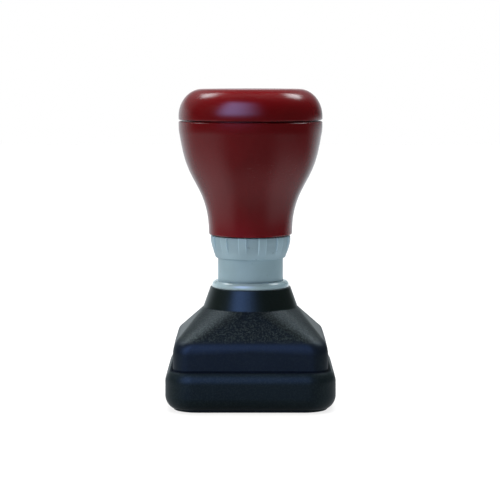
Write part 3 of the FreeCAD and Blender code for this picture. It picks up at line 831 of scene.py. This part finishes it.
# %% [markdown]
# ## The grip ring
# The fields between the ring's ribs start at nothing near the foot and get deeper towards the top,
# and the whole barrel narrows downwards with a slight bulge. The profile is a function of the
# angle, so each field has soft upright edges where the light turns.

# %% Grip ring
ring_low, ring_high = box_mm("adjuster_ring")
RING_TOP, RING_FOOT, RING_STRAIGHT, RING_BULGE = 9.83, 8.58, 1.2, 0.18
FOOT_RISE, SIDE_LEVELS = 0.4, 12
FIELD_DEPTH, FIELD_START, FIELD_END, FIELD_SLOPE = 0.35, 0.8, 0.6, 0.6
RING_BORE, RING_RECESS, RECESS_DEPTH = 8.03, 8.84, 1.6
side_low, side_high = ring_low.z + FOOT_RISE, ring_high.z - RING_STRAIGHT


def smooth_share(value, low, high):
    share = min(max((value - low) / (high - low), 0.0), 1.0)
    return share * share * (3 - 2 * share)


def ring_side(height):
    """Radius of the barrel between its foot and its straight top."""
    share = (side_high - height) / (side_high - side_low)
    return RING_TOP + (RING_FOOT - RING_TOP) * share + RING_BULGE * 4 * share * (1 - share)


def field_depth(height):
    """How deep a field is cut: nothing at its foot, all of it from the middle up."""
    return FIELD_DEPTH * smooth_share(height, ring_low.z + FIELD_START, side_high - FIELD_END)


def ring_profile(angle):
    slope = FIELD_HALF_ANGLE - FIELD_SLOPE, FIELD_HALF_ANGLE + FIELD_SLOPE
    cut = 1 - smooth_share(abs(angle), *slope)
    corners = [(RING_BORE, ring_low.z, 0.05), (RING_FOOT, ring_low.z, 0.35)]
    for level in range(1, SIDE_LEVELS + 1):
        height = side_low + (side_high - side_low) * level / SIDE_LEVELS
        corners.append((ring_side(height) - cut * field_depth(height), height, 0.0))
    return outline(corners + [
        (RING_TOP - cut * FIELD_DEPTH, ring_high.z, 0.3),
        (RING_RECESS, ring_high.z, 0.1),
        (RING_RECESS, ring_high.z - RECESS_DEPTH, 0.05),
        (RING_BORE, ring_high.z - RECESS_DEPTH, 0.05),
    ])


FIELD_ANGLES = both_sides([0.0, 4.0, 7.0, 8.0, 8.4, 8.6, 8.8, 9.0, 9.2, 9.4, 9.6, 10.0, 11.0, 13.0, 15.0])
ring = sector_piece("grip_ring", ring_profile, FIELD_ANGLES, FIELD_COUNT, FIELD_TURN, RING_GREY)
settle(ring, "adjuster", "adjuster_ring", RING_GREY)

# %% [markdown]
# ## Plug and nut
# Under the cap sit the fluted filler plug and the nut that holds the rod. The same tree makes both:
# a flute is a circle cut into the head's rim, and a nut's flat is a chord under a cone.

# %% Filler plug
plug_low, plug_high = box_mm("filler_plug")
PLUG_HEAD, PLUG_HEAD_HEIGHT, PLUG_SHANK = 4.3, 2.6, 2.12
FLUTE, FLUTE_PLACE, FLUTE_COUNT = 0.5, 4.55, 8
DIMPLE, DIMPLE_FLOOR, DIMPLE_DEPTH = 0.9, 0.7, 0.35


def plug_profile(angle):
    turn = math.radians(angle)
    off = FLUTE_PLACE * math.sin(turn)
    rim = PLUG_HEAD
    if abs(off) < FLUTE:
        rim = min(rim, FLUTE_PLACE * math.cos(turn) - math.sqrt(FLUTE * FLUTE - off * off))
    head, floor = plug_high.z - PLUG_HEAD_HEIGHT, plug_high.z - DIMPLE_DEPTH
    return outline([
        (0.0, plug_low.z, 0.0),
        (PLUG_SHANK, plug_low.z, 0.25),
        (PLUG_SHANK, head, 0.05),
        (rim, head, 0.12),
        (rim, plug_high.z, 0.3),
        (DIMPLE, plug_high.z, 0.15),
        (DIMPLE_FLOOR, floor, 0.1),
        (0.0, floor, 0.0),
    ])


FLUTE_ANGLES = both_sides([0.0, 1.5, 3.0, 4.2, 5.0, 5.5, 5.9, 6.2, 6.8, 9.0, 14.0, 18.0, 22.5])
plug = sector_piece("filler_cap", plug_profile, FLUTE_ANGLES, FLUTE_COUNT, 0.0, PLUG_BLACK, wrapped=False)
settle(plug, "plug", "filler_plug", PLUG_BLACK)

# %% Handle nut
nut_low, nut_high = box_mm("handle_nut")
NUT_SIDES, NUT_TURN, NUT_FLATS, NUT_BORE = 6, 30.0, 11.0, 3.64
CHAMFER_FOOT, CHAMFER_SLOPE = 5.35, 1.73


def nut_profile(angle):
    flat = NUT_FLATS / 2 / math.cos(math.radians(angle))
    chamfer = (flat - CHAMFER_FOOT) / CHAMFER_SLOPE
    return outline([
        (NUT_BORE, nut_low.z, 0.15),
        (CHAMFER_FOOT, nut_low.z, 0.05),
        (flat, nut_low.z + chamfer, 0.08),
        (flat, nut_high.z - chamfer, 0.08),
        (CHAMFER_FOOT, nut_high.z, 0.05),
        (NUT_BORE, nut_high.z, 0.2),
    ])


FLAT_ANGLES = both_sides([5.0 * step for step in range(7)])
nut = sector_piece("hex_nut", nut_profile, FLAT_ANGLES, NUT_SIDES, NUT_TURN, STEEL)
settle(nut, "plunger", "handle_nut", STEEL)

# %% [markdown]
# ## The return spring
# The wire starts with closed turns, opens within one turn to an even pitch and closes again at the
# top. The tree bends a straight line of points into that coil: the angle grows evenly, the height
# is the sum of the pitch so far, and a circle swept along it makes the wire. The share of its height
# that the spring keeps when the stamp is pressed is worked out too.

# %% Return spring
spring_low, spring_high = box_mm("return_spring")
TURNS, CLOSED_TURNS, END_PITCH = 6.0, 0.75, 1.3
WIRE_WIDTH, COIL_RADIUS = 0.8, 5.6
STEPS_A_TURN, WIRE_SIDES = 48, 12


def coil_recipe():
    recipe = Recipe("closed_coil", Turns="Float", Closed_Turns="Float", Radius="Float", Start="Float",
                    End_Pitch="Float", Opening="Float", Wire_Radius="Float", Finish="Material")
    add, given = recipe.node, recipe.given
    turns, closed, radius = given("Turns"), given("Closed Turns"), given("Radius")
    line = add("GeometryNodeCurvePrimitiveLine", {}, {})
    points = add("GeometryNodeResampleCurve", {}, {"Curve": line, "Count": turns * STEPS_A_TURN + 1})
    here = add("GeometryNodeInputIndex", {}, {}) / STEPS_A_TURN
    past_closed = here.math("MINIMUM", turns - here) - closed
    ramp = past_closed.math("MAXIMUM", 0.0).math("MINIMUM", 1.0)
    from_end = ramp * ramp / 2 + (past_closed - 1).math("MAXIMUM", 0.0)
    past_middle = here.math("GREATER_THAN", turns / 2)
    summed = between(past_middle, from_end, turns - closed * 2 - 1 - from_end)
    height = given("Start") + given("End Pitch") * here + given("Opening") * summed
    angle = here * 2 * math.pi
    place = {"X": radius * angle.math("COSINE"), "Y": radius * angle.math("SINE"), "Z": height}
    inputs = {"Geometry": points, "Position": add("ShaderNodeCombineXYZ", {}, place)}
    coil = add("GeometryNodeSetPosition", {}, inputs)
    inputs = {"Resolution": WIRE_SIDES, "Radius": given("Wire Radius")}
    wire = add("GeometryNodeCurvePrimitiveCircle", {}, inputs)
    inputs = {"Curve": coil, "Profile Curve": wire, "Fill Caps": True}
    recipe.end(add("GeometryNodeCurveToMesh", {}, inputs))
    return recipe


spring_height = spring_high.z - spring_low.z
open_turns = TURNS - 2 * CLOSED_TURNS - 1
opening = (spring_height - WIRE_WIDTH - END_PITCH * TURNS) / open_turns
spring = as_piece("return_spring_wire", bpy.data.meshes.new("return_spring_wire"))
coil_recipe().grow(
    spring, Turns=TURNS, Closed_Turns=CLOSED_TURNS, Radius=COIL_RADIUS * MM, End_Pitch=END_PITCH * MM,
    Start=(spring_low.z + WIRE_WIDTH / 2) * MM, Opening=opening * MM, Wire_Radius=WIRE_WIDTH / 2 * MM,
    Finish=WIRE,
)
settle(spring, "housing", "return_spring", WIRE)
press = next(joint for joint in frame["joints"] if joint["name"] == "press")
kept = 1 - press["range_m"][1] / MM / spring_height
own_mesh(spring)

# %% [markdown]
# ## Foam and felt
# The die is a block of porous rubber with a lip that its frame grips, and the pad behind it is a
# block of inked felt whose sides belly out a little. Both are soft but held on every side, so they
# need no cloth simulation: levels with wide roundings give the form.

# %% Die and ink pad
die_low, die_high = box_mm("stamp_die")
pad_low, pad_high = box_mm("ink_pad")
LIP_HEIGHT, LIP_WIDTH, BLOCK_CORNER, PAD_BELLY = 0.8, 1.0, 1.0, 0.25
lip_half, lip_foot = die_high.x, die_high.z - LIP_HEIGHT
face_half, pad_half = lip_half - LIP_WIDTH, lip_half - PAD_BELLY


def block(name, levels):
    """Solid block through levels, closed by a pole at its foot and at its top."""
    foot, top = levels[0][2], levels[-1][2]
    return levelled_piece(name, [(0.0, 0.0, foot, 0.0), *levels, (0.0, 0.0, top, 0.0)], closed=False)


die = block("print_face", [
    (face_half, BLOCK_CORNER, die_low.z, 0.25),
    (face_half, BLOCK_CORNER, lip_foot, 0.05),
    (lip_half, BLOCK_CORNER, lip_foot, 0.12),
    (lip_half, BLOCK_CORNER, die_high.z, 0.12),
])
settle(die, "plunger", "stamp_die", DIE_RUBBER)
pad = block("felt_pad", [
    (pad_half, BLOCK_CORNER, pad_low.z, 0.3),
    (lip_half, BLOCK_CORNER, (pad_low.z + pad_high.z) / 2, 1.5),
    (pad_half, BLOCK_CORNER, pad_high.z, 0.3),
])
settle(pad, "plunger", "ink_pad", PAD_FELT)

# %% [markdown]
# ## Pieces kept from the CAD
# Everything else has the right shape already and only needs its finish: the handle, the plate and
# frame that hold the die, the rod, the washers, the ring nut, the gaskets and the little screws.

# %% Finishes for the CAD nodes that stay
KEPT = {
    "handle_body": BURGUNDY,
    "die_mount": MOUNT_GREY,
    "die_frame": FRAME_BLACK,
    "bush_nut": FRAME_BLACK,
    "feed_rod": ALLOY,
    "handle_washer": STEEL,
    "spring_washer": STEEL,
    "mount_screws": STEEL,
    "rod_seal": GASKET,
    "plug_seal": GASKET,
}
for node, finish in KEPT.items():
    slots = frame["nodes"][node].data.materials
    print(node, [material.name for material in slots])
    for number in range(len(slots)):
        slots[number] = finish

# %% [markdown]
# ## The table
# The picture's ground is white, so the table is a pale sheet that glows a little to the camera and
# is matt enough to keep the stamp's soft shadow. The plastic sees another table: dim in front, pale
# at the sides, white behind, which darkens its middle and lights its edges. The camera sees halfway
# through the sheet, and wholly from below, because the cover comes off past the table's level.

# %% Table
WHITE, COOL_WHITE, PAPER_FLECK = (1.0, 1.0, 1.0), (0.9, 0.96, 1.0), (0.9, 0.9, 0.91)
TABLE_HALF = 1.5
SEEN_GREY, UNSEEN_GREY, MIRRORED_GREY = 0.4, 0.2, 0.008
SEEN_GLOW, SEEN_FADE = 0.6, (0.08, 0.5)
FRONT_GLOW, FRONT_FADE = 0.22, (0.035, 0.095)
SIDE_GLOW, SIDE_FADE, SIDE_SKEW, SIDE_SPREAD = 0.84, (-0.15, 0.42), 0.4, (0.5, 0.95)
BACK_FADE, BACK_SPREAD = (0.0, 0.2), (0.1, 1.0)
BOUNCE_GLOW, BOUNCE_START, BOUNCE_FADE = 1.25, (0.02, 0.045), (0.04, 0.4)
SEE_THROUGH = 0.5


def mirrored_table(stage, far):
    """How bright the table is in the stamp's gloss; far is the distance from the stem in metres."""
    across, along = stage.axis("X"), stage.axis("Y")
    front = (1.0 - far.step(*FRONT_FADE)) * FRONT_GLOW
    side = (1.0 - (far + across * SIDE_SKEW).step(*SIDE_FADE)) * SIDE_GLOW
    beside = (across.size() / far).step(*SIDE_SPREAD)
    behind = along.step(*BACK_FADE) * (along / far).step(*BACK_SPREAD)
    return between(behind, between(beside, front, side), 1.0)


def table_top():
    stage = Finish("pale_table", Roughness=0.9, Specular_IOR_Level=0.1, Emission_Strength=1.0)
    paper = stage.noise(30.0, 3.0)
    far = stage.node("ShaderNodeVectorMath", {"operation": "LENGTH"}, [stage.place], "Value")
    camera, gloss = stage.ray("Is Camera Ray"), stage.ray("Is Glossy Ray")
    seen = camera + stage.ray("Is Transmission Ray")
    glow = seen * between(far.step(*SEEN_FADE), SEEN_GLOW, 1.0) + gloss * mirrored_table(stage, far)
    bounce = far.step(*BOUNCE_START) * (1.0 - far.step(*BOUNCE_FADE)) * BOUNCE_GLOW
    glow = glow + stage.ray("Is Diffuse Ray") * bounce
    inputs = {"Vector": stage.mix(seen, COOL_WHITE, WHITE), "Scale": glow}
    shining = stage.node("ShaderNodeVectorMath", {"operation": "SCALE"}, inputs)
    greys = [stage.mix(paper * 0.15, shade(WHITE, grey), shade(PAPER_FLECK, grey))
             for grey in (UNSEEN_GREY, SEEN_GREY)]
    sheet = stage.mix(camera, *greys)
    below = stage.node("ShaderNodeNewGeometry", {}, {}, "Backfacing")
    through = camera * between(below, SEE_THROUGH, 1.0)
    clear = stage.node("ShaderNodeBsdfTransparent", {}, {})
    layers = [through, Value(stage, stage.surface.outputs[0]), clear]
    stage.lead(stage.node("ShaderNodeMixShader", {}, layers), "Material Output", "Surface")
    return stage.wear(
        Base_Color=stage.mix(gloss, sheet, shade(WHITE, MIRRORED_GREY)),
        Emission_Color=shining,
        Normal=stage.bump(paper, 0.02, 0.5),
    )


corners = [(x * TABLE_HALF, y * TABLE_HALF, 0.0) for x, y in ((-1, -1), (1, -1), (1, 1), (-1, 1))]
table_mesh = bpy.data.meshes.new("table_sheet")
table_mesh.from_pydata(corners, [], [(0, 1, 2, 3)])
table_mesh.materials.append(table_top())
table = bpy.data.objects.new("table_sheet", table_mesh)
bpy.context.scene.collection.objects.link(table)
print("table", 2 * TABLE_HALF, "m wide")

# %% [markdown]
# ## The room
# Gloss is nothing but the room seen in the plastic, so the room is dim on the camera's side and
# white behind. A cool window stands in front, a little to the left: a patch of directions with soft
# edges, seen by gloss alone, which lays the blue-violet sheen on cap, collar and cover. An area
# lamp there would have hard edges. The camera sees plain white past the stamp.

# %% World
ROOM_DIM, ROOM_BACK, ROOM_SIDES, ROOM_TOP, ROOM_GLOSS, ROOM_ABOVE = 0.02, 0.5, 0.08, 0.05, 0.03, 0.25
BACK_SKEW, BACK_EDGE, BACK_TOP = 0.28, (0.45, 1.12), (0.08, 0.4)
ABOVE_LEAN, ABOVE_TOP = 0.6, (0.5, 0.92)
SIDES_EDGE, TOP_EDGE = (0.5, 0.95), (0.25, 0.95)
ROOM_TINT, WINDOW_TINT, WINDOW_GLOW = (0.86, 0.96, 1.0), (0.36, 0.48, 1.0, 1.0), 5.5
WINDOW_LEFT, WINDOW_RIGHT, WINDOW_SILL, WINDOW_HEAD = (-62, -38), (-32, 25), (0, 14), (48, 64)


def window_pane(across, along, up):
    """1 for directions in the window; its edges are in degrees from the camera and from level."""
    turn = across.math("ARCTAN2", along * -1.0) * (180 / math.pi)
    rise = up.math("ARCSINE") * (180 / math.pi)
    upright = turn.step(*WINDOW_LEFT) * (1.0 - turn.step(*WINDOW_RIGHT))
    return upright * rise.step(*WINDOW_SILL) * (1.0 - rise.step(*WINDOW_HEAD))


def white_back(across, along, up):
    """1 for directions to the white wall behind the stamp, and less for those above it."""
    back = along - across * BACK_SKEW
    above = (back + up * ABOVE_LEAN).step(*BACK_EDGE) * (1.0 - up.step(*ABOVE_TOP)) * ROOM_ABOVE
    return (back.step(*BACK_EDGE) * (1.0 - up.step(*BACK_TOP))).math("MAXIMUM", above)


def light_room():
    world = bpy.data.worlds.new("pale_room")
    bpy.context.scene.world = world
    world.use_nodes = True
    room = Pattern(world.node_tree, "Generated")
    seen = room.ray("Is Camera Ray").math("MAXIMUM", room.ray("Is Transmission Ray"))
    gloss = room.ray("Is Glossy Ray")
    across, along, up = (room.axis(name) for name in "XYZ")
    back = white_back(across, along, up)
    sides = across.size().step(*SIDES_EDGE) * ROOM_SIDES
    ambient = ROOM_DIM + back * ROOM_BACK + sides + up.step(*TOP_EDGE) * ROOM_TOP
    mirrored = back.math("MAXIMUM", ROOM_GLOSS)
    room.lead(room.mix(seen, ROOM_TINT, WHITE), "Background", "Color")
    room.lead(between(seen, between(gloss, ambient, mirrored), 1.0), "Background", "Strength")
    strength = window_pane(across, along, up) * gloss * (1.0 - seen) * WINDOW_GLOW
    window = room.node("ShaderNodeBackground", {}, {"Color": WINDOW_TINT, "Strength": strength})
    wall = Value(room, room.tree.nodes["Background"].outputs[0])
    room.lead(room.node("ShaderNodeAddShader", {}, [wall, window]), "World Output", "Surface")
    return world


print("room with", len(light_room().node_tree.nodes), "nodes")

# %% [markdown]
# ## Lamps
# Six soft boxes. The one overhead does most, because the stamp's top is far brighter than its
# waist. A key on the left and two weak fills, right and front, model the handle's round. These four
# are kept out of the gloss, which the room paints alone. The two behind and above do show in it, as
# pairs of small highlights on cap and flange.

# %% Soft boxes
AIM = Vector((0.0, 0.0, 0.045))


def soft_box(name, azimuth, elevation, distance, size, colour, radiance, mirrored=False):
    """Area lamp of even radiance; azimuth is from the camera, positive to its right."""
    turn, rise = math.radians(azimuth), math.radians(elevation)
    towards = Vector((math.sin(turn) * math.cos(rise), -math.cos(turn) * math.cos(rise), math.sin(rise)))
    lamp = bpy.data.lights.new(name, "AREA")
    lamp.shape = "RECTANGLE"
    lamp.size, lamp.size_y = size
    lamp.color = colour
    lamp.energy = radiance * math.pi * lamp.size * lamp.size_y
    holder = bpy.data.objects.new(name, lamp)
    holder.location = AIM + towards * distance
    holder.rotation_euler = towards.to_track_quat("Z", "Y").to_euler()
    holder.visible_camera = False
    holder.visible_glossy = mirrored
    bpy.context.scene.collection.objects.link(holder)


soft_box("overhead", 180.0, 78.0, 0.7, (0.6, 0.5), (1.0, 0.99, 0.97), 11.8)
soft_box("left_key", -68.0, 27.0, 0.8, (0.4, 0.5), (1.0, 0.91, 0.82), 4.7)
soft_box("right_fill", 70.0, 20.0, 0.8, (0.4, 0.5), (1.0, 0.95, 0.7), 0.4)
soft_box("front_fill", 5.0, 20.0, 0.8, (0.5, 0.4), (0.96, 0.98, 1.0), 0.3)
soft_box("back_left", -133.0, 50.0, 0.6, (0.2, 0.15), (0.92, 0.97, 1.0), 6.0, mirrored=True)
soft_box("back_right", 129.0, 49.0, 0.6, (0.2, 0.15), (0.92, 0.97, 1.0), 7.2, mirrored=True)
print("lamps", [lamp.name for lamp in bpy.data.lights])

# %% [markdown]
# ## The camera
# Lens and height follow from the photograph: the stamp's rims are seen a little from above, and
# the square foot seems 8% wider at its near edge than at its far one. That puts the camera 44 cm
# away, 8 cm above the table, tilted down by 5.7 degrees, with a long lens and no shift.

# %% Camera
CAMERA_PLACE, CAMERA_TILT, LENS_MM, SENSOR_MM = (-0.00012, -0.44125, 0.08109), 5.7106, 130.25, 36.0
camera_data = bpy.data.cameras.new("camera")
camera_data.sensor_width = SENSOR_MM
camera_data.lens = LENS_MM
camera = bpy.data.objects.new("camera", camera_data)
camera.location = CAMERA_PLACE
camera.rotation_euler = (math.radians(90.0 - CAMERA_TILT), 0.0, 0.0)
bpy.context.scene.collection.objects.link(camera)
bpy.context.scene.camera = camera
bpy.context.scene.view_settings.view_transform = "Standard"
print("camera at", tuple(camera.location))
